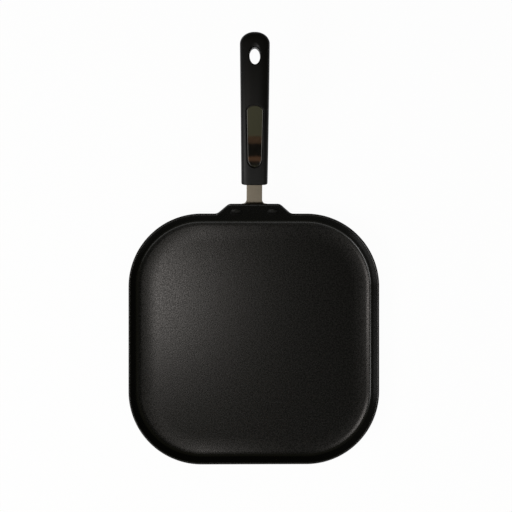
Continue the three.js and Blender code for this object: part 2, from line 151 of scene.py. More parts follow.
def point_outwards(mesh: bpy.types.Mesh) -> None:
    """Turn the faces of a closed mesh outwards and shade them smooth.

    Args:
        mesh: The mesh, changed in place.
    """
    work = bmesh.new()
    work.from_mesh(mesh)
    bmesh.ops.recalc_face_normals(work, faces=work.faces)
    work.to_mesh(mesh)
    work.free()
    mesh.shade_smooth()


def keep_sharp(mesh: bpy.types.Mesh, angle: float) -> None:
    """Shade a mesh smooth except across edges sharper than an angle in degrees."""
    mesh.shade_smooth()
    mesh.set_sharp_from_angle(angle=math.radians(angle))


def new_object(name: str, mesh: bpy.types.Mesh) -> bpy.types.Object:
    """Object of a mesh in the scene, at the origin.

    Args:
        name: The object's name.
        mesh: Its mesh.

    Returns:
        The object.
    """
    made = bpy.data.objects.new(name, mesh)
    bpy.context.scene.collection.objects.link(made)
    return made


def settle(piece: bpy.types.Object) -> None:
    """Replace a piece's mesh by what its modifiers make of it, and remove the modifiers.

    Args:
        piece: The object, changed in place.
    """
    evaluated = piece.evaluated_get(bpy.context.evaluated_depsgraph_get())
    mesh = bpy.data.meshes.new_from_object(evaluated)
    mesh.name = piece.name
    piece.modifiers.clear()
    piece.data = mesh


def carve(piece: bpy.types.Object, cutters: Sequence[bpy.types.Mesh]) -> None:
    """Cut closed meshes out of a piece.

    Args:
        piece: The object that is cut.
        cutters: What is cut out of it, in order.
    """
    tools = [new_object(cutter.name, cutter) for cutter in cutters]
    for tool in tools:
        cut = piece.modifiers.new(tool.name, "BOOLEAN")
        cut.operation = "DIFFERENCE"
        cut.solver = "EXACT"
        cut.object = tool
    settle(piece)
    for tool in tools:
        bpy.data.objects.remove(tool)


# Nodes


def bare_tree(owner: bpy.types.Material | bpy.types.World) -> bpy.types.NodeTree:
    """Emptied node tree of a new material or world.

    Args:
        owner: The material or the world.

    Returns:
        Its tree.
    """
    owner.use_nodes = True
    owner.node_tree.nodes.clear()
    return owner.node_tree


def new_group(name: str, kinds: dict[str, str]) -> bpy.types.NodeTree:
    """Geometry tree without nodes, which takes and gives geometry and has further inputs.

    Args:
        name: The tree's name.
        kinds: The type of each further input, by name.

    Returns:
        The tree.
    """
    tree = bpy.data.node_groups.new(name, "GeometryNodeTree")
    for key, kind in {"Geometry": "Geometry", **kinds}.items():
        tree.interface.new_socket(key, in_out="INPUT", socket_type="NodeSocket" + kind)
    tree.interface.new_socket("Geometry", in_out="OUTPUT", socket_type="NodeSocketGeometry")
    return tree


def run_group(piece: bpy.types.Object, tree: bpy.types.NodeTree, values: dict[str, object]) -> None:
    """Replace a piece's mesh by what a geometry tree makes of it.

    Args:
        piece: The object, changed in place.
        tree: The geometry tree.
        values: The value of each of the tree's inputs, by name.
    """
    run = piece.modifiers.new(tree.name, "NODES")
    run.node_group = tree
    for socket in tree.interface.items_tree:
        if socket.name in values:
            run[socket.identifier] = values[socket.name]
    settle(piece)


def add(
    tree: bpy.types.NodeTree, kind: str, inputs: dict[str | int, object] | None = None, **settings: object
) -> bpy.types.Node:
    """Add a node with its settings, and fill its inputs with values or with links.

    Args:
        tree: The tree that gets the node.
        kind: The node's type name.
        inputs: For each input, by name or number, a value or what to link from: a socket, or a node, which
            gives its first output.
        settings: The node's own properties.

    Returns:
        The node.
    """
    node = tree.nodes.new(kind)
    for key, value in settings.items():
        setattr(node, key, value)
    for key, value in (inputs or {}).items():
        source = value.outputs[0] if isinstance(value, bpy.types.Node) else value
        if isinstance(source, bpy.types.NodeSocket):
            tree.links.new(source, node.inputs[key])
        else:
            node.inputs[key].default_value = source
    return node


def linear(colour: str) -> tuple[float, float, float, float]:
    """Linear colour of an sRGB hex value.

    Args:
        colour: Six hex digits after a hash sign.

    Returns:
        Linear red, green, blue and an alpha of one.
    """
    shares = [int(colour[i : i + 2], 16) / 255 for i in (1, 3, 5)]
    parts = [s / 12.92 if s <= 0.04045 else ((s + 0.055) / 1.055) ** 2.4 for s in shares]
    return (*parts, 1.0)


def per_size(size: float) -> float:
    """Scale of a texture whose features are about this many millimetres wide."""
    return 1 / (size * MM)


# Finishes


@dataclass(frozen=True, kw_only=True)
class Finish:
    """Base of every finish: one grain that mixes two tones and ripples the gloss of a principled surface."""

    name: str
    dark: str
    pale: str
    roughness: float
    grain: float
    grain_height: float
    detail: float = 2.0
    detail_share: float = 0.6

    def material(self) -> bpy.types.Material:
        """Make the material from the finish's grain and gloss.

        Returns:
            The material.
        """
        material = bpy.data.materials.new(self.name)
        tree = bare_tree(material)
        grain = self.pattern(tree, add(tree, "ShaderNodeTexCoord").outputs["Object"])
        # A Mix node's colours are its inputs 6 and 7 and its output 2.
        tones = {0: grain, 6: linear(self.dark), 7: linear(self.pale)}
        tone = add(tree, "ShaderNodeMix", tones, data_type="RGBA")
        ripple = add(tree, "ShaderNodeBump", {"Height": grain, "Distance": self.grain_height * MM})
        shader = add(
            tree, "ShaderNodeBsdfPrincipled",
            {"Base Color": tone.outputs[2], "Roughness": self.roughness, "Normal": ripple},
        )
        self.gloss(tree, shader, grain)
        add(tree, "ShaderNodeOutputMaterial", {"Surface": shader})
        return material

    def pattern(self, tree: bpy.types.NodeTree, place: bpy.types.NodeSocket) -> bpy.types.NodeSocket:
        """Grain from zero to one at a place in metres, alike in every direction."""
        looks = {"Scale": per_size(self.grain), "Detail": self.detail, "Roughness": self.detail_share}
        return add(tree, "ShaderNodeTexNoise", {"Vector": place, **looks}).outputs["Fac"]

    def gloss(self, tree: bpy.types.NodeTree, shader: bpy.types.Node, grain: bpy.types.NodeSocket) -> None:
        """Set how the principled shader mirrors its surroundings, with the finish's grain."""
        raise NotImplementedError


@dataclass(frozen=True, kw_only=True)
class Coating(Finish):
    """Baked, moulded or foamed stuff that is not metal, whose gloss is flecked by its grain."""

    ior: float
    fleck: float
    # Span of the grain that takes the gloss from its smoothest to its roughest
    fleck_span: tuple[float, float] = (0.25, 0.75)

    def gloss(self, tree: bpy.types.NodeTree, shader: bpy.types.Node, grain: bpy.types.NodeSocket) -> None:
        """Fleck the gloss with the grain.

        Args:
            tree: The material's tree.
            shader: Its principled shader.
            grain: The finish's grain.
        """
        low, high = self.fleck_span
        smooth, rough = self.roughness * (1 - self.fleck), self.roughness * (1 + self.fleck)
        flecks = add(tree, "ShaderNodeMapRange", {0: grain, 1: low, 2: high, 3: smooth, 4: rough})
        tree.links.new(flecks.outputs[0], shader.inputs["Roughness"])
        shader.inputs["IOR"].default_value = self.ior


@dataclass(frozen=True, kw_only=True)
class Metal(Finish):
    """Bare stainless steel, with its grain drawn out along the handle."""

    streak_length: float

    def pattern(self, tree: bpy.types.NodeTree, place: bpy.types.NodeSocket) -> bpy.types.NodeSocket:
        """Grain drawn out along Y and Z.

        Args:
            tree: The material's tree.
            place: The point on the piece, in metres.

        Returns:
            The grain, from zero to one.
        """
        share = self.grain / self.streak_length
        stretched = add(tree, "ShaderNodeMapping", {"Vector": place, "Scale": (1.0, share, share)})
        return super().pattern(tree, stretched.outputs["Vector"])

    def gloss(self, tree: bpy.types.NodeTree, shader: bpy.types.Node, grain: bpy.types.NodeSocket) -> None:
        """Make the principled shader a metal."""
        shader.inputs["Metallic"].default_value = 1.0


# Sprayed and baked non-stick coat: near-black, half glossy, so that a lamp spreads over it as a soft sheen,
# and stippled by the spray. The stipple is drawn coarser than the real one, to show at this distance.
COAT = Coating(
    name="sprayed_nonstick_coat", dark="#0c0c0c", pale="#121211", roughness=0.25, grain=1.6,
    grain_height=0.02, ior=1.4, fleck=0.2, detail=0.0,
)
# The same coat on the rivets' heads, too small to show much stipple. Its tones are darker than the coat's, as
# painted shade that darkens the heads' unlit sides.
RIVET_COAT_PAINTED_SHADE = replace(
    COAT, name="rivet_coat_painted_shade", dark="#060606", pale="#080808", roughness=0.34, grain_height=0.002,
    ior=1.45, fleck=0.1,
)
# Baked enamel on the pan's outside: charcoal, with a faint orange peel in its gloss.
ENAMEL = Coating(
    name="baked_outside_enamel", dark="#0c0c0c", pale="#121211", roughness=0.6, grain=3.0, grain_height=0.01,
    ior=1.2, fleck=0.1,
)
# Rolled and brushed stainless strap: warm grey, with fine streaks along its length.
STRAP_STEEL = Metal(
    name="brushed_stainless_strap", dark="#6a6358", pale="#746c60", roughness=0.37, grain=0.35,
    grain_height=0.003, streak_length=14.0,
)
# Polished stainless inlay: nearly a mirror, which takes its colours from the room, with hair-fine rub marks.
INLAY_STEEL = Metal(
    name="polished_stainless_inlay", dark="#a09f9c", pale="#aaa9a5", roughness=0.06, grain=0.5,
    grain_height=0.0008, streak_length=20.0,
)
# Soft-touch silicone: a black with a broad, faint sheen. The grain of its mould is drawn coarser than it is.
SLEEVE_SILICONE = Coating(
    name="soft_touch_silicone", dark="#050505", pale="#070707", roughness=0.44, grain=1.6, grain_height=0.01,
    ior=1.29, fleck=0.1,
)
# Moulded phenolic: dark brown, dull, with a fine fleck of filler.
CORE_PHENOLIC = Coating(
    name="moulded_phenolic", dark="#241d18", pale="#312820", roughness=0.5, grain=0.8, grain_height=0.01,
    ior=1.5, fleck=0.2,
)
# Bonding foam: pale grey and quite matt, with open pores.
PAD_FOAM = Coating(
    name="bonding_foam", dark="#b9b6ad", pale="#d0cec6", roughness=0.9, grain=0.5, grain_height=0.05,
    ior=1.4, fleck=0.2,
)


# Pieces


def dress(mesh: bpy.types.Mesh, sharp_angle: float, finish: Finish) -> None:
    """Shade a mesh and give it its finish.

    Args:
        mesh: The mesh, changed in place.
        sharp_angle: The angle in degrees from which an edge stays sharp.
        finish: The finish that it wears all over.
    """
    keep_sharp(mesh, sharp_angle)
    mesh.materials.clear()
    mesh.materials.append(finish.material())


def hand_over(piece: bpy.types.Object, slot: str, *nodes: str) -> bpy.types.Object:
    """Let a finished piece ride on the part and stand for its solids.

    Args:
        piece: The finished object.
        slot: Not used.
        nodes: The solids that it stands for.

    Returns:
        The piece.
    """
    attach(piece, BODY)
    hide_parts(*nodes)
    return piece


@dataclass
class Pan:
    """Pressed pan: one wall section swept round the rim, which leans out into the rivet tab at the back."""

    rim_width: float = 280.0
    corner_radius: float = 81.5
    height: float = 19.0
    wall: float = 2.6
    floor: float = 3.4
    wall_angle: float = 69.0
    inside_fillet: float = 4.6
    toe_radius: float = 28.0
    toe_angle: float = 14.0
    # The sweep is drawn wider than the solid's, which lifts the edge of the cooking floor by 0.3 mm.
    sweep_radius: float = 180.0
    sweep_angle: float = 5.4
    outside_fillet: float = 7.0
    tab_reach: float = 10.3
    tab_angle: float = 62.0
    tab_top_width: float = 52.4
    tab_foot_width: float = 86.6
    tab_rounding: float = 0.25
    # A facet takes the outside's enamel where more than this share of its corners lies outside.
    outside_share: float = 0.4
    facet: float = 2.4
    corner_steps: int = 64
    fillet_steps: int = 16
    lip_steps: int = 14
    toe_steps: int = 8
    sweep_steps: int = 8
    floor_insets: tuple[float, ...] = (1.0, 3.0, 8.0)

    @property
    def lip_radius(self) -> float:
        """Radius of the rounded lip."""
        return self.wall / 2

    @property
    def wall_lean(self) -> float:
        """Lean of the plain wall, in radians."""
        return math.radians(self.wall_angle)

    @property
    def tab_lean(self) -> float:
        """Lean of the tab, in radians."""
        return math.radians(self.tab_angle)

    @property
    def rim_lip(self) -> Vector:
        """Middle of the rounded lip on the plain wall, as reach and height."""
        return Vector((self.rim_width / 2 - self.lip_radius, self.height - self.lip_radius))

    @property
    def inside_fillet_centre(self) -> Vector:
        """Centre of the fillet that joins the floor's toe to the wall.

        Returns:
            The centre, as reach and height.
        """
        sweep, toe = math.radians(self.sweep_angle), math.radians(self.toe_angle)
        rise = self.sweep_radius - (self.sweep_radius - self.toe_radius) * math.cos(sweep)
        height = self.floor + rise - (self.toe_radius - self.inside_fillet) * math.cos(toe)
        return self.fillet_centre(self.rim_lip, self.wall_lean, -self.lip_radius, self.inside_fillet, height)

    @property
    def tab_lip(self) -> Vector:
        """Middle of the tab's lip, on the plane that rises from the wall's own inside fillet.

        Returns:
            The middle, as reach and height.
        """
        reach = self.rim_lip.x + self.tab_reach
        fillet = self.inside_fillet_centre
        run = (reach - fillet.x) * math.sin(self.tab_lean) - self.lip_radius - self.inside_fillet
        return Vector((reach, fillet.y + run / math.cos(self.tab_lean)))

    @staticmethod
    def fillet_centre(lip: Vector, lean: float, offset: float, radius: float, height: float) -> Vector:
        """Centre, at a height, of a fillet that touches a wall's face, offset out from the wall's middle."""
        rise = (height - lip.y) * math.cos(lean)
        return Vector((lip.x + (offset - radius + rise) / math.sin(lean), height))

    def section(self, lip: Vector, lean: float) -> tuple[list[Vector], int]:
        """Section from the base out and up the wall, over the lip and in to the flat floor.

        Args:
            lip: The middle of the lip.
            lean: The wall's lean.

        Returns:
            The points as reach and height, and how many of them lie outside the middle of the lip.
        """
        outward = lean - QUARTER_TURN
        sweep_end = math.radians(self.sweep_angle) - QUARTER_TURN
        toe_end = math.radians(self.toe_angle) - QUARTER_TURN
        outer = self.fillet_centre(lip, lean, self.lip_radius, self.outside_fillet, self.outside_fillet)
        inner = self.inside_fillet_centre
        toe_centre = polar(inner, self.inside_fillet - self.toe_radius, toe_end)
        sweep_centre = polar(toe_centre, self.toe_radius - self.sweep_radius, sweep_end)
        outside = arc(outer, self.outside_fillet, -QUARTER_TURN, outward, self.fillet_steps)
        over = arc(lip, self.lip_radius, outward, outward + math.pi, self.lip_steps)
        inside = arc(inner, self.inside_fillet, outward, toe_end, self.fillet_steps)
        toe = arc(toe_centre, self.toe_radius, toe_end, sweep_end, self.toe_steps)
        floor = arc(sweep_centre, self.sweep_radius, sweep_end, -QUARTER_TURN, self.sweep_steps)
        return outside + over + inside + toe[1:] + floor[1:], len(outside) + self.lip_steps // 2

    def profile(self) -> bpy.types.Mesh:
        """Line of the section in the sweep's own plane, which knows how each point shifts on the tab.

        Returns:
            The line, as a mesh of edges.
        """
        plain, outside_count = self.section(self.rim_lip, self.wall_lean)
        leaning, _ = self.section(self.tab_lip, self.tab_lean)
        mesh = bpy.data.meshes.new("wall_section")
        # In the sweep's plane X points out from the rim and Y points down.
        points = [Vector((p.x - self.rim_width / 2, -p.y, 0.0)) * MM for p in plain]
        mesh.from_pydata(points, [(i, i + 1) for i in range(len(points) - 1)], [])
        mesh.attributes.new("tab_shift", "FLOAT_VECTOR", "POINT")
        mesh.attributes.new("outside", "FLOAT", "POINT")
        for i, (low, high) in enumerate(zip(plain, leaning)):
            shift = (0.0, (high.x - low.x) * MM, (high.y - low.y) * MM)
            mesh.attributes["tab_shift"].data[i].vector = shift
            mesh.attributes["outside"].data[i].value = float(i < outside_count)
        return mesh

    def sweep_group(self) -> bpy.types.NodeTree:
        """Tree that sweeps the section round the rim and leans it out into the tab.

        Returns:
            The tree, whose inputs are the sizes and the two materials.
        """
        kinds = {
            "Rim Width": "Float", "Corner Radius": "Float", "Corner Steps": "Int", "Facet": "Float",
            "Tab Top": "Float", "Tab Foot": "Float", "Tab Rounding": "Float", "Outside Share": "Float",
            "Inside": "Material", "Outside": "Material",
        }
        tree = new_group("rim_sweep", kinds)
        given = add(tree, "NodeGroupInput").outputs
        section = add(tree, "GeometryNodeMeshToCurve", {"Mesh": given["Geometry"]})
        square = add(
            tree, "GeometryNodeCurvePrimitiveQuadrilateral",
            {"Width": given["Rim Width"], "Height": given["Rim Width"]}, mode="RECTANGLE",
        )
        rounded = add(
            tree, "GeometryNodeFilletCurve",
            {"Curve": square, "Radius": given["Corner Radius"], "Count": given["Corner Steps"]}, mode="POLY",
        )
        even = add(
            tree, "GeometryNodeResampleCurve", {"Curve": rounded, "Length": given["Facet"]}, mode="LENGTH"
        )
        upright = add(tree, "GeometryNodeSetCurveNormal", {"Curve": even}, mode="Z_UP")
        swept = add(tree, "GeometryNodeCurveToMesh", {"Curve": upright, "Profile Curve": section})
        place = add(tree, "ShaderNodeSeparateXYZ", {0: add(tree, "GeometryNodeInputPosition")})
        aside = add(tree, "ShaderNodeMath", {0: place.outputs["X"]}, operation="ABSOLUTE")
        foot = add(tree, "ShaderNodeMath", {0: given["Tab Foot"], 1: 0.5}, operation="MULTIPLY")
        top = add(tree, "ShaderNodeMath", {0: given["Tab Top"], 1: 0.5}, operation="MULTIPLY")
        ramp = add(tree, "ShaderNodeMapRange", {0: aside, 1: foot, 2: top}, clamp=False)
        rounding = given["Tab Rounding"]
        risen = add(tree, "ShaderNodeMath", {0: ramp, 1: 0.0, 2: rounding}, operation="SMOOTH_MAX")
        level = add(tree, "ShaderNodeMath", {0: risen, 1: 1.0, 2: rounding}, operation="SMOOTH_MIN")
        behind = add(tree, "ShaderNodeMath", {0: place.outputs["Y"], 1: 0.0}, operation="GREATER_THAN")
        share = add(tree, "ShaderNodeMath", {0: level, 1: behind}, operation="MULTIPLY")
        shift = add(tree, "GeometryNodeInputNamedAttribute", {"Name": "tab_shift"}, data_type="FLOAT_VECTOR")
        moved = add(
            tree, "ShaderNodeVectorMath", {0: shift.outputs["Attribute"], "Scale": share}, operation="SCALE"
        )
        leaning = add(tree, "GeometryNodeSetPosition", {"Geometry": swept, "Offset": moved})
        real = add(tree, "GeometryNodeRealizeInstances", {"Geometry": leaning})
        coated = add(tree, "GeometryNodeSetMaterial", {"Geometry": real, "Material": given["Inside"]})
        outside = add(tree, "GeometryNodeInputNamedAttribute", {"Name": "outside"}, data_type="FLOAT")
        chosen = add(
            tree, "ShaderNodeMath",
            {0: outside.outputs["Attribute"], 1: given["Outside Share"]}, operation="GREATER_THAN",
        )
        painted = add(
            tree, "GeometryNodeSetMaterial",
            {"Geometry": coated, "Selection": chosen, "Material": given["Outside"]},
        )
        add(tree, "NodeGroupOutput", {"Geometry": painted})
        return tree

    def build(self) -> bpy.types.Object:
        """Sweep the wall, close the floor and the base, and hand the pan over.

        Returns:
            The pan.
        """
        pan = new_object("coated_pan", self.profile())
        bow = (self.tab_foot_width - self.tab_top_width) * self.tab_rounding / 2
        values = {
            "Rim Width": self.rim_width * MM, "Corner Radius": self.corner_radius * MM,
            "Corner Steps": self.corner_steps, "Facet": self.facet * MM,
            "Tab Top": (self.tab_top_width + bow) * MM, "Tab Foot": (self.tab_foot_width - bow) * MM,
            "Tab Rounding": self.tab_rounding, "Outside Share": self.outside_share,
            "Inside": COAT.material(), "Outside": ENAMEL.material(),
        }
        run_group(pan, self.sweep_group(), values)
        self.close(pan.data)
        return hand_over(pan, "nonstick_aluminium", "pan_body")

    def close(self, mesh: bpy.types.Mesh) -> None:
        """Fill the floor and the base of the swept wall, with rings of facets inside their edges.

        Args:
            mesh: The swept wall, changed in place.
        """
        work = bmesh.new()
        work.from_mesh(mesh)
        bmesh.ops.remove_doubles(work, verts=work.verts, dist=WELD)
        open_edges = [edge for edge in work.edges if edge.is_boundary]
        filled = bmesh.ops.holes_fill(work, edges=open_edges, sides=0)["faces"]
        for face in filled:
            face.material_index = max(edge.link_faces[0].material_index for edge in face.edges)
            for inset in self.floor_insets:
                ring = bmesh.ops.inset_individual(work, faces=[face], thickness=inset * MM)["faces"]
                for side in ring:
                    side.material_index = face.material_index
        work.to_mesh(mesh)
        work.free()
        point_outwards(mesh)


@dataclass
class RivetPair:
    """Two solid rivets that clamp the pan's tab to the strap: low domed heads inside, upset tails outside."""

    pan: Pan
    count: int = 2
    spacing: float = 40.6
    drop: float = 13.3
    shank_diameter: float = 6.0
    head_diameter: float = 13.0
    head_height: float = 2.3
    head_edge: float = 0.5
    tail_diameter: float = 10.4
    tail_height: float = 2.0
    strap_thickness: float = STRAP_THICKNESS
    seat_gap: float = SEAT_GAP
    edge_rounding: float = 0.35
    sharp_angle: float = 50.0
    round_steps: int = 64
    dome_steps: int = 20
    edge_steps: int = 4
    # Facets of the dome that its rounded edge takes the place of
    edge_facets: int = 2

    @property
    def seat(self) -> Vector:
        """Point of the tab's middle plane that the rivets pass through, as reach and height."""
        return polar(self.pan.tab_lip, -self.drop, self.pan.tab_lean)

    def profile(self) -> list[Vector]:
        """Half section of a rivet, from the middle of its tail to the middle of its head.

        Returns:
            The points, as radius and height.
        """
        shank = self.shank_diameter / 2
        head = self.head_diameter / 2
        tail = self.tail_diameter / 2
        inside = self.pan.lip_radius + self.seat_gap
        outside = self.pan.lip_radius + self.strap_thickness + 2 * self.seat_gap
        dome = self.head_height - self.head_edge
        dome_radius = (head * head + dome * dome) / (2 * dome)
        span = math.asin(head / dome_radius)
        dome_centre = Vector((0.0, inside + self.head_height - dome_radius))
        rise = arc(dome_centre, dome_radius, QUARTER_TURN - span, QUARTER_TURN, self.dome_steps)
        brim = Vector((head, inside))
        edge = round_corner(brim, rise[0], rise[self.edge_facets], self.edge_rounding, self.edge_steps)
        barrel = [
            Vector((
                shank + (tail - shank) * math.cos(a),
                -outside - self.tail_height / 2 + self.tail_height / 2 * math.sin(a),
            ))
            for a in spread(-QUARTER_TURN, 0, self.dome_steps // 2)
        ]
        steps = [Vector((tail, -outside)), Vector((shank, -outside)), Vector((shank, inside)), brim]
        return [*barrel, *steps, *edge, *rise[self.edge_facets : -1]]

    def blank(self) -> bpy.types.Mesh:
        """One rivet about its own +Y axis, turned from its half section.

        Returns:
            The closed mesh.
        """
        turns = [2 * math.pi * i / self.round_steps for i in range(self.round_steps)]
        rings = [
            [Vector((p.x * math.cos(a), p.y, p.x * math.sin(a))) for a in turns] for p in self.profile()
        ]
        mesh = skin("rivet_blank", rings, Cap.HUB)
        keep_sharp(mesh, self.sharp_angle)
        return mesh

    def row_group(self) -> bpy.types.NodeTree:
        """Tree that sets a row of rivets into their seats.

        Returns:
            The tree, whose inputs are the row's sizes and the coat.
        """
        kinds = {
            "Count": "Int", "First Seat": "Vector", "Spacing": "Float", "Lean": "Float", "Coat": "Material"
        }
        tree = new_group("rivet_row", kinds)
        given = add(tree, "NodeGroupInput").outputs
        step = add(tree, "ShaderNodeCombineXYZ", {"X": given["Spacing"]})
        seats = add(
            tree, "GeometryNodeMeshLine",
            {"Count": given["Count"], "Start Location": given["First Seat"], "Offset": step}, mode="OFFSET",
        )
        lean = add(tree, "ShaderNodeCombineXYZ", {"X": given["Lean"]})
        turn = add(tree, "FunctionNodeEulerToRotation", {0: lean})
        row = add(
            tree, "GeometryNodeInstanceOnPoints",
            {"Points": seats, "Instance": given["Geometry"], "Rotation": turn},
        )
        real = add(tree, "GeometryNodeRealizeInstances", {"Geometry": row})
        coated = add(tree, "GeometryNodeSetMaterial", {"Geometry": real, "Material": given["Coat"]})
        add(tree, "NodeGroupOutput", {"Geometry": coated})
        return tree

    def build(self) -> bpy.types.Object:
        """Turn the rivet, set two of them through the tab, and hand them over.

        Returns:
            The rivets, as one piece.
        """
        rivets = new_object("pan_rivets", self.blank())
        first = -(self.count - 1) * self.spacing / 2
        values = {
            "Count": self.count, "First Seat": (first * MM, self.seat.x * MM, self.seat.y * MM),
            "Spacing": self.spacing * MM, "Lean": QUARTER_TURN + self.pan.tab_lean,
            # The rivets' coat, whose darker tones are painted shade.
            "Coat": RIVET_COAT_PAINTED_SHADE.material(),
        }
        run_group(rivets, self.row_group(), values)
        return hand_over(rivets, "coated_rivet", "rivet_left", "rivet_right")


@dataclass
class HandleStrap:
    """Stamped steel strap: a rivet plate behind the tab, a bend, a neck, and a tang inside the grip."""

    pan: Pan
    rivets: RivetPair
    thickness: float = STRAP_THICKNESS
    edge: float = 0.5
    neck_width: float = 17.2
    neck_angle: float = 18.0
    plate_margin: float = 8.7
    plate_foot_radius: float = 7.0
    plate_shoulder_radius: float = 6.0
    plate_shoulder_drop: float = 8.5
    neck_fillet: float = 6.0
    neck_foot_drop: float = 2.3
    # The bend is drawn tighter than the solid's, between the same flat plate and neck.
    bend_drop: float = 5.288
    bend_radius: float = 5.0
    neck_length: float = 21.412
    tang_length: float = 108.0
    tang_end_radius: float = 5.0
    grip_arc_radius: float = 480.0
    sharp_angle: float = 50.0
    corner_steps: int = 12
    edge_steps: int = 4
    facet: float = 0.8

    @property
    def neck_lean(self) -> float:
        """Lean of the neck, in radians."""
        return math.radians(self.neck_angle)

    @property
    def plate_run(self) -> float:
        """Length of the flat plate behind the tab, up to the bend."""
        return self.rivets.drop + self.plate_margin - self.bend_drop

    @property
    def grip_start(self) -> float:
        """Distance along the spine where the grip starts."""
        return self.plate_run + self.bend_radius * (self.pan.tab_lean - self.neck_lean) + self.neck_length

    def spine(self, distance: float) -> tuple[Vector, float]:
        """Place and lean of the strap's middle line: up the tab, over the bend, along the neck and the grip.

        Args:
            distance: How far along the line, from the plate's foot.

        Returns:
            The place, as reach and height, and the lean in radians.
        """
        offset = self.pan.lip_radius + self.rivets.seat_gap + self.thickness / 2
        lean = self.pan.tab_lean
        foot = polar(self.pan.tab_lip, -(self.rivets.drop + self.plate_margin), lean)
        place = polar(foot, offset, lean - QUARTER_TURN)
        bend_length = self.bend_radius * (lean - self.neck_lean)
        legs = (
            (self.plate_run, 0.0),
            (bend_length, -1 / self.bend_radius),
            (self.neck_length, 0.0),
            (math.inf, -1 / self.grip_arc_radius),
        )
        left = distance
        for length, curve in legs:
            run = min(left, length)
            turn = run * curve
            chord = 2 * math.sin(turn / 2) / curve if turn else run
            place = polar(place, chord, lean + turn / 2)
            lean += turn
            left -= run
            if left <= 0:
                break
        return place, lean

    def point(self, distance: float, aside: float, height: float) -> Vector:
        """Point of the handle, along its spine, aside from it along X and square above it."""
        place, lean = self.spine(distance)
        return Vector((aside, place.x - height * math.sin(lean), place.y + height * math.cos(lean)))

    def outline(self) -> list[Vector]:
        """Right half of the strap's flat outline, from its foot to its tang's end.

        Returns:
            The points, as half width and distance.
        """
        plate = self.rivets.spacing / 2 + self.plate_margin
        neck = self.neck_width / 2
        end = self.grip_start + self.tang_length
        lip = self.rivets.drop + self.plate_margin
        shoulder, foot = lip - self.plate_shoulder_drop, lip - self.neck_foot_drop
        places = ((0, 0), (plate, 0), (plate, shoulder), (neck, foot), (neck, end), (0, end))
        corners = [Vector(place) for place in places]
        radii = (self.plate_foot_radius, self.plate_shoulder_radius, self.neck_fillet, self.tang_end_radius)
        rounded = [
            round_corner(*corners[i : i + 3], radius, self.corner_steps) for i, radius in enumerate(radii)
        ]
        return [point for corner in rounded for point in corner]

    def stations(self) -> list[Vector]:
        """Places of the rings: the outline's own points, with more along its straight runs.

        Returns:
            Half width and distance of each ring.
        """
        outline = self.outline()
        found = [outline[0]]
        for before, after in zip(outline, outline[1:]):
            steps = max(1, math.ceil((after.y - before.y) / self.facet))
            found += [before.lerp(after, i / steps) for i in range(1, steps + 1)]
        return found

    def ring(self, distance: float, half: float, inset: float) -> Ring:
        """Flat bar section across the spine, with its edges rounded.

        Args:
            distance: How far along the spine.
            half: Half of the strap's width there.
            inset: How far the whole section is drawn in.

        Returns:
            The section's points.
        """
        side = half - inset - self.edge
        top = self.thickness / 2 - inset - self.edge
        low = arc(Vector((side, -top)), self.edge, -QUARTER_TURN, 0, self.edge_steps)
        high = arc(Vector((side, top)), self.edge, 0, QUARTER_TURN, self.edge_steps)
        right = low + high
        left = [Vector((-p.x, p.y)) for p in reversed(right)]
        return [self.point(distance, p.x, p.y) for p in right + left]

    def build(self) -> bpy.types.Object:
        """Bend the strap along its spine and hand it over.

        Returns:
            The strap.
        """
        rings = []
        for station in self.stations():
            short = max(0.0, self.edge - station.y)
            inset = self.edge - math.sqrt(self.edge * self.edge - short * short)
            rings.append(self.ring(station.y, station.x, inset))
        mesh = skin("steel_strap", rings, Cap.HUB)
        dress(mesh, self.sharp_angle, STRAP_STEEL)
        return hand_over(new_object("steel_strap", mesh), "strap_steel", "handle_strap")


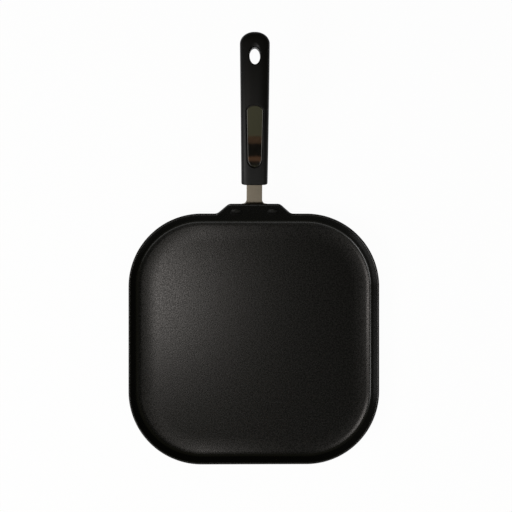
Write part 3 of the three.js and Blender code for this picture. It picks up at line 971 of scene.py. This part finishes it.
@dataclass
class Grip:
    """Moulded grip: a soft sleeve over a rigid core, with a window for the inlay and a hanging hole."""

    strap: HandleStrap
    length: float = 165.5
    front_width: float = 28.9
    rear_width: float = 32.7
    end_depth: float = 13.0
    top_front: float = 7.8
    top_rear: float = 7.0
    top_swell: float = 1.4
    bottom_front: float = 7.8
    bottom_rear: float = 7.2
    bottom_swell: float = 3.4
    front_rounding: float = 1.4
    sleeve: float = 2.6
    top_squareness: float = 3.4
    bottom_squareness: float = 2.4
    end_squareness: float = 3.0
    hole_width: float = 11.5
    hole_length: float = 18.2
    hole_from_end: float = 26.2
    hole_rounding: float = 1.4
    hole_mouth_depth: float = 2.8
    hole_scoop: float = 3.2
    window_rounding: float = 1.0
    window_gap: float = 0.9
    seat_gap: float = SEAT_GAP
    overrun: float = 4.0
    sharp_angle: float = 40.0
    section_steps: int = 48
    facet: float = 1.4
    end_steps: int = 24
    nose_steps: int = 8
    hole_steps: int = 32
    flare_steps: int = 10
    throat_steps: int = 8

    @property
    def start(self) -> float:
        """Distance along the spine where the grip starts."""
        return self.strap.grip_start

    @property
    def end(self) -> float:
        """Distance along the spine where the grip ends."""
        return self.start + self.length

    def along(self, distance: float) -> float:
        """Share of the grip's length at a distance along the spine."""
        return min(1.0, max(0.0, (distance - self.start) / self.length))

    def swollen(self, distance: float, front: float, rear: float, swell: float = 0.0) -> float:
        """Length that runs from front to rear along the grip, and is greater by the swell half-way."""
        t = self.along(distance)
        return front + (rear - front) * t + 4 * swell * t * (1 - t)

    def top(self, distance: float) -> float:
        """Height of the grip's top above the spine."""
        return self.swollen(distance, self.top_front, self.top_rear, self.top_swell)

    def bottom(self, distance: float) -> float:
        """Depth of the grip's underside below the spine."""
        return self.swollen(distance, self.bottom_front, self.bottom_rear, self.bottom_swell)

    def half(self, distance: float) -> float:
        """Half of the grip's width."""
        return self.swollen(distance, self.front_width, self.rear_width) / 2

    def crown(self, distance: float, aside: float) -> float:
        """Height of the sleeve's upper skin above the spine at a place across the grip."""
        share = min(1.0, abs(aside) / self.half(distance))
        return self.top(distance) * (1 - share**self.top_squareness) ** (1 / self.top_squareness)

    def ring(
        self, distance: float, inset: float, width_share: float = 1.0, height_share: float = 1.0
    ) -> Ring:
        """Section of the grip, square-shouldered above and rounder below.

        Args:
            distance: How far along the spine.
            inset: How far the section is drawn in from the outer skin.
            width_share: The share of its width that it keeps.
            height_share: The share of its height that it keeps.

        Returns:
            The section's points.
        """
        half = (self.half(distance) - inset) * width_share
        step = math.pi / self.section_steps
        right = []
        for i in range(self.section_steps):
            angle = (i + 0.5) * step - QUARTER_TURN
            upper = angle > 0
            power = self.top_squareness if upper else self.bottom_squareness
            height = ((self.top(distance) if upper else self.bottom(distance)) - inset) * height_share
            spread_out = abs(math.cos(angle) / half) ** power + abs(math.sin(angle) / height) ** power
            radius = spread_out ** (-1 / power)
            right.append((radius * math.cos(angle), radius * math.sin(angle)))
        left = [(-aside, height) for aside, height in reversed(right)]
        return [self.strap.point(distance, aside, height) for aside, height in right + left]

    def body(self, name: str, front: float, inset: float, rounding: float) -> bpy.types.Mesh:
        """Grip shape from a front distance to its rounded end, an inset below the outer skin.

        Args:
            name: The mesh's name.
            front: Where it starts along the spine.
            inset: How far it lies below the outer skin.
            rounding: The radius round its front edge.

        Returns:
            The closed mesh.
        """
        end_start = self.end - self.end_depth
        depth = self.end_depth - inset
        nose = [
            self.ring(front + rounding * (1 - math.cos(a)), inset + rounding * (1 - math.sin(a)))
            for a in spread(0, QUARTER_TURN, self.nose_steps)[:-1]
        ]
        steps = math.ceil((end_start - front - rounding) / self.facet)
        trunk = [self.ring(at, inset) for at in spread(front + rounding, end_start, steps)]
        tip = []
        for a in spread(0, QUARTER_TURN, self.end_steps)[1:-1]:
            t = math.sin(a)
            tall = (1 - t**self.end_squareness) ** (1 / self.end_squareness)
            tip.append(self.ring(end_start + t * depth, inset, math.cos(a), tall))
        return skin(name, (nose if rounding else []) + trunk + tip, Cap.HUB)

    def outline_block(self, name: str, levels: Sequence[tuple[Stations, Height]]) -> bpy.types.Mesh:
        """Block whose outline bends with the grip, between two levels or more.

        Args:
            name: The mesh's name.
            levels: For each level its stations, as distance and half width, and its height at any place.

        Returns:
            The closed mesh.
        """
        rings = []
        for stations, height in levels:
            right = [self.strap.point(at, half, height(at, half)) for at, half in stations]
            left = [self.strap.point(at, -half, height(at, half)) for at, half in reversed(stations)]
            rings.append(right + left)
        return skin(name, rings, Cap.LADDER)

    def below_top(self, depth: float) -> Height:
        """Height that lies a depth below the middle of the grip's top."""
        return lambda at, aside: self.top(at) - depth

    def above_bottom(self, height: float) -> Height:
        """Height that lies above the middle of the grip's underside."""
        return lambda at, aside: height - self.bottom(at)

    def below_crown(self, depth: float) -> Height:
        """Height that lies a depth below the sleeve's upper skin."""
        return lambda at, aside: self.crown(at, aside) - depth

    def hole(self, growth: float, far_growth: float) -> Stations:
        """Stations of the hanging hole's outline, grown all round and by another length at its far end.

        Args:
            growth: How far it is grown at its sides and near end.
            far_growth: How far it is grown at its far end.

        Returns:
            Distance and half width of each station.
        """
        centre = self.end - self.hole_from_end
        half = self.hole_width / 2 + growth
        step = math.pi / self.hole_steps
        stations = []
        for i in range(self.hole_steps):
            angle = (i + 0.5) * step - QUARTER_TURN
            reach = self.hole_length / 2 + (far_growth if angle > 0 else growth)
            stations.append((centre + reach * math.sin(angle), half * math.cos(angle)))
        return stations

    def hole_cutter(self) -> bpy.types.Mesh:
        """Cutter for the hanging hole, rounded at both faces and scooped at its upper mouth's far end.

        Returns:
            The closed mesh.
        """
        widest = self.hole(self.hole_rounding, self.hole_rounding)
        below = [(widest, self.above_bottom(-self.overrun))]
        lower, upper = [], []
        for angle in spread(0, QUARTER_TURN, self.flare_steps):
            t = math.sin(angle)
            flare = self.hole_rounding * (1 - math.cos(angle))
            lower.append((self.hole(flare, flare), self.above_bottom(self.hole_rounding * (1 - t))))
            mouth = self.hole(flare, flare + self.hole_scoop * t * t)
            upper.append((mouth, self.below_top(self.hole_mouth_depth * (1 - t))))
        above = [(upper[-1][0], self.below_top(-self.overrun))]
        return self.outline_block("hole_cutter", below + lower[::-1] + upper + above)

    def lining(self) -> bpy.types.Mesh:
        """Block round the hanging hole, wider than the hole all round by the sleeve that lines it.

        Returns:
            The closed mesh.
        """
        stations = self.hole(self.sleeve, self.sleeve)
        levels = [(stations, self.above_bottom(-self.overrun)), (stations, self.below_top(-self.overrun))]
        return self.outline_block("hole_lining", levels)

    def throat(self) -> bpy.types.Mesh:
        """Cutter for the strap's way in, with a gap all round the strap.

        Returns:
            The closed mesh.
        """
        half = self.strap.neck_width / 2 + self.seat_gap
        tall = self.strap.thickness / 2 + self.seat_gap
        first, last = self.start - self.overrun, self.start + self.sleeve + self.overrun
        corners = ((half, -tall), (half, tall), (-half, tall), (-half, -tall))
        rings = [
            [self.strap.point(at, aside, height) for aside, height in corners]
            for at in spread(first, last, self.throat_steps)
        ]
        return skin("strap_throat", rings, Cap.HUB)

    def window(self, outline: Callable[[float], Stations]) -> bpy.types.Mesh:
        """Cutter for the inlay's window, whose upper edge is rounded.

        Args:
            outline: The inlay's stations for any growth of its outline.

        Returns:
            The closed mesh.
        """
        radius = self.window_rounding
        levels = [(outline(self.window_gap), self.below_crown(self.sleeve + self.overrun / 2))]
        for angle in spread(0, QUARTER_TURN, self.flare_steps):
            growth = self.window_gap + radius * (1 - math.cos(angle))
            levels.append((outline(growth), self.below_crown(radius * (1 - math.sin(angle)))))
        levels.append((levels[-1][0], self.below_crown(-self.overrun)))
        return self.outline_block("inlay_window", levels)

    def build(self, inlay: "Inlay") -> bpy.types.Object:
        """Mould the sleeve, cut its cavity, throat, window and hole, and hand it over.

        Args:
            inlay: The inlay that sits in the window.

        Returns:
            The sleeve.
        """
        sleeve = new_object("soft_sleeve", self.body("soft_sleeve", self.start, 0.0, self.front_rounding))
        cavity = new_object("cavity", self.body("cavity", self.start + self.sleeve, self.sleeve, 0.0))
        carve(cavity, [self.lining()])
        hollow = cavity.data
        bpy.data.objects.remove(cavity)
        carve(sleeve, [hollow, self.throat(), self.window(inlay.outline), self.hole_cutter()])
        dress(sleeve.data, self.sharp_angle, SLEEVE_SILICONE)
        return hand_over(sleeve, "sleeve_silicone", "grip_sleeve")

    @staticmethod
    def dress_core() -> bpy.types.Object:
        """Give the hidden core, which keeps its own solid, the look of moulded phenolic.

        Returns:
            The core.
        """
        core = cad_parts["grip_core"]
        core.data.materials.clear()
        core.data.materials.append(CORE_PHENOLIC.material())
        return core


@dataclass
class Inlay:
    """Polished plate let into the top of the grip, on its bonding pad."""

    grip: Grip
    length: float = 65.4
    from_front: float = 20.6
    front_width: float = 14.8
    rear_width: float = 17.1
    front_bow: float = 9.0
    rear_bow: float = 5.6
    thickness: float = 1.1
    edge_radius: float = 1.0
    edge_slopes: tuple[float, float] = (70.0, 34.0)
    proud: float = 0.2
    pad_thickness: float = 0.5
    pad_inset: float = 1.2
    sharp_angle: float = 15.0
    tip_angle: float = 2.0
    end_steps: int = 24
    side_steps: int = 40
    edge_steps: int = 10

    def outline(self, growth: float) -> Stations:
        """Stations of the round-ended outline.

        Args:
            growth: How far the outline is grown all round.

        Returns:
            Distance and half width of each station, from the front to the rear.
        """
        front = self.grip.start + self.from_front
        near, far = self.front_width / 2, self.rear_width / 2
        near_centre, far_centre = front + self.front_bow, front + self.length - self.rear_bow
        tilt = math.asin((far - near) / (far_centre - near_centre))
        tip = math.radians(self.tip_angle)
        ends = []
        for centre, bow, half, first, last in (
            (near_centre, self.front_bow, near, tip - QUARTER_TURN, -tilt),
            (far_centre, self.rear_bow, far, -tilt, QUARTER_TURN - tip),
        ):
            ends.append([
                (centre + (bow + growth) * math.sin(a), (half + growth) * math.cos(a))
                for a in spread(first, last, self.end_steps)
            ])
        (first_at, first_half), (last_at, last_half) = ends[0][-1], ends[1][0]
        sides = [
            (first_at + (last_at - first_at) * t, first_half + (last_half - first_half) * t)
            for t in spread(0, 1, self.side_steps)[1:-1]
        ]
        return ends[0] + sides + ends[1]

    def build(self) -> list[bpy.types.Object]:
        """Bend the plate and its pad with the grip, and hand them over.

        Returns:
            The plate and the pad.
        """
        underside = self.thickness - self.proud
        levels = [(self.outline(0), self.grip.below_top(underside))]
        steep, gentle = (math.radians(angle) for angle in self.edge_slopes)
        for slope in spread(steep, gentle, self.edge_steps):
            inset = self.edge_radius * (math.sin(steep) - math.sin(slope))
            sunk = self.edge_radius * (math.cos(gentle) - math.cos(slope)) - self.proud
            levels.append((self.outline(-inset), self.grip.below_top(sunk)))
        plate = self.grip.outline_block("polished_inlay", levels)
        dress(plate, self.sharp_angle, INLAY_STEEL)
        pad_top = underside + self.grip.seat_gap
        pad_outline = self.outline(-self.pad_inset)
        depths = (pad_top + self.pad_thickness, pad_top)
        pad_levels = [(pad_outline, self.grip.below_top(depth)) for depth in depths]
        pad = self.grip.outline_block("bonding_pad", pad_levels)
        dress(pad, self.grip.sharp_angle, PAD_FOAM)
        return [
            hand_over(new_object("polished_inlay", plate), "inlay_steel", "inlay_plate"),
            hand_over(new_object("bonding_pad", pad), "bonding_foam", "inlay_pad"),
        ]


# Studio


@dataclass(frozen=True)
class Softbox:
    """Rectangular soft lamp that faces the pan, as bright to look at as its glow times white."""

    name: str
    place: tuple[float, float, float]
    aim: tuple[float, float, float]
    size: tuple[float, float]
    glow: float
    colour: str = "#ffffff"

    def hang(self) -> None:
        """Make the lamp and turn it to what it lights."""
        lamp = bpy.data.lights.new(self.name, "AREA")
        lamp.shape = "RECTANGLE"
        lamp.size, lamp.size_y = self.size
        lamp.energy = math.pi * lamp.size * lamp.size_y * self.glow
        lamp.color = linear(self.colour)[:3]
        hung = bpy.data.objects.new(self.name, lamp)
        hung.location = self.place
        hung.rotation_euler = (Vector(self.aim) - Vector(self.place)).to_track_quat("-Z", "Y").to_euler()
        hung.visible_camera = False
        bpy.context.scene.collection.objects.link(hung)


@dataclass(frozen=True)
class Flag:
    """Level card hung over the pan, outside the camera's frame, for the inlay and the coat to mirror."""

    name: str
    place: tuple[float, float, float]
    size: tuple[float, float]
    colour: str

    def hang(self) -> None:
        """Make the card."""
        x, y, z = self.place
        wide, long = self.size[0] / 2, self.size[1] / 2
        mesh = bpy.data.meshes.new(self.name)
        mesh.from_pydata([(x + i * wide, y + j * long, z) for i, j in CORNERS], [], [(0, 1, 2, 3)])
        card = bpy.data.materials.new(self.name)
        tree = bare_tree(card)
        matt = add(tree, "ShaderNodeBsdfDiffuse", {"Color": linear(self.colour)})
        add(tree, "ShaderNodeOutputMaterial", {"Surface": matt})
        mesh.materials.append(card)
        new_object(self.name, mesh)


@dataclass
class Studio:
    """Pale floor, soft lamps and dark flags in a dim room, and a camera over the pan, all in metres."""

    floor_half: float = 12.0
    backdrop_height: float = 0.6
    floor_colour: str = "#f4f4f2"
    floor_glow: float = 0.97
    room_colour: str = "#595846"
    camera_height: float = 1.469
    camera_place: tuple[float, float] = (-0.027, 0.0926)
    camera_aim: float = 0.0021
    view_width: float = 0.5712
    softboxes: tuple[Softbox, ...] = (
        # A lamp seen nearly straight down takes its first size along Y.
        Softbox("overhead_softbox", (-0.298, 0.012, 1.5), (0.0, 0.0, 0.0), (0.22, 0.32), 9.6, "#fff8f4"),
        Softbox("left_softbox", (-1.27, -0.6, 1.164), (0.0, 0.15, 0.0), (1.25, 0.55), 7.8),
        Softbox("front_softbox", (0.08, -0.94, 1.32), (0.0, 0.1, 0.0), (2.75, 0.5), 1.9),
    )
    flags: tuple[Flag, ...] = (
        Flag("black_flag", (0.025, -0.365, 1.3), (0.2, 0.28), "#2e2c2a"),
        Flag("dun_flag", (0.025, -0.228, 1.29), (0.2, 0.07), "#7c6250"),
        Flag("brown_flag", (0.025, -0.42, 1.29), (0.2, 0.05), "#96705a"),
        Flag("side_flag", (0.2, 0.03, 1.3), (0.3, 0.76), "#1c1b1a"),
    )

    def floor_material(self) -> bpy.types.Material:
        """White paper sweep: white to the eye and in reflections, with the soft shadow kept.

        Returns:
            The material.
        """
        material = bpy.data.materials.new("white_paper_sweep")
        tree = bare_tree(material)
        paper = add(tree, "ShaderNodeBsdfDiffuse", {"Color": linear(self.floor_colour)})
        glow = add(tree, "ShaderNodeEmission", {"Color": (1.0, 1.0, 1.0, 1.0), "Strength": 1.0})
        path = add(tree, "ShaderNodeLightPath").outputs
        seen = add(
            tree, "ShaderNodeMath", {0: path["Is Camera Ray"], 1: path["Is Glossy Ray"]}, operation="MAXIMUM"
        )
        shown = add(tree, "ShaderNodeMath", {0: seen, 1: path["Is Transmission Ray"]}, operation="MAXIMUM")
        share = add(tree, "ShaderNodeMath", {0: shown, 1: self.floor_glow}, operation="MULTIPLY")
        mixed = add(tree, "ShaderNodeMixShader", {0: share, 1: paper, 2: glow})
        add(tree, "ShaderNodeOutputMaterial", {"Surface": mixed})
        return material

    def lay_floor(self) -> None:
        """Lay the floor under the pan, with its far edges turned up into a low backdrop."""
        far, count = self.floor_half, len(CORNERS)
        levels = (0.0, self.backdrop_height)
        points = [(i * far, j * far, height) for height in levels for i, j in CORNERS]
        sides = [(i, (i + 1) % count, (i + 1) % count + count, i + count) for i in range(count)]
        mesh = bpy.data.meshes.new("floor")
        mesh.from_pydata(points, [], [(0, 1, 2, 3), *sides])
        mesh.materials.append(self.floor_material())
        new_object("floor", mesh)

    def light(self) -> None:
        """Hang the softboxes and the flags in a dim room."""
        world = bpy.data.worlds.new("studio_room")
        tree = bare_tree(world)
        room = add(tree, "ShaderNodeBackground", {"Color": linear(self.room_colour), "Strength": 1.0})
        add(tree, "ShaderNodeOutputWorld", {"Surface": room})
        bpy.context.scene.world = world
        for fitting in (*self.softboxes, *self.flags):
            fitting.hang()

    def set_camera(self) -> None:
        """Hang the camera over the pan, with the handle pointing up in the frame."""
        lens = bpy.data.cameras.new("camera")
        lens.sensor_fit = "HORIZONTAL"
        drop = self.camera_height - Pan.height * MM
        lens.angle = 2 * math.atan(self.view_width / 2 / drop)
        camera = bpy.data.objects.new("camera", lens)
        camera.location = (*self.camera_place, self.camera_height)
        camera.rotation_euler.y = math.atan2(self.camera_place[0] - self.camera_aim, drop)
        bpy.context.scene.collection.objects.link(camera)
        bpy.context.scene.camera = camera

    def build(self) -> None:
        """Set up the floor, the light, the camera and the view."""
        bpy.context.scene.view_settings.view_transform = "Standard"
        self.lay_floor()
        self.light()
        self.set_camera()


def main() -> None:
    """Build the griddle pan's pieces in order, report them, and set up the studio round them."""
    logging.basicConfig(level=logging.INFO, format="%(name)s: %(message)s")
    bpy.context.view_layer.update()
    pan = Pan()
    rivets = RivetPair(pan)
    strap = HandleStrap(pan, rivets)
    grip = Grip(strap)
    inlay = Inlay(grip)
    pieces = [pan.build(), rivets.build(), strap.build(), grip.build(inlay), *inlay.build()]
    pieces.append(grip.dress_core())
    for piece in pieces:
        LOG.info("%s: %d faces", piece.name, len(piece.data.polygons))
    Studio().build()


if __name__ == "__main__":
    main()
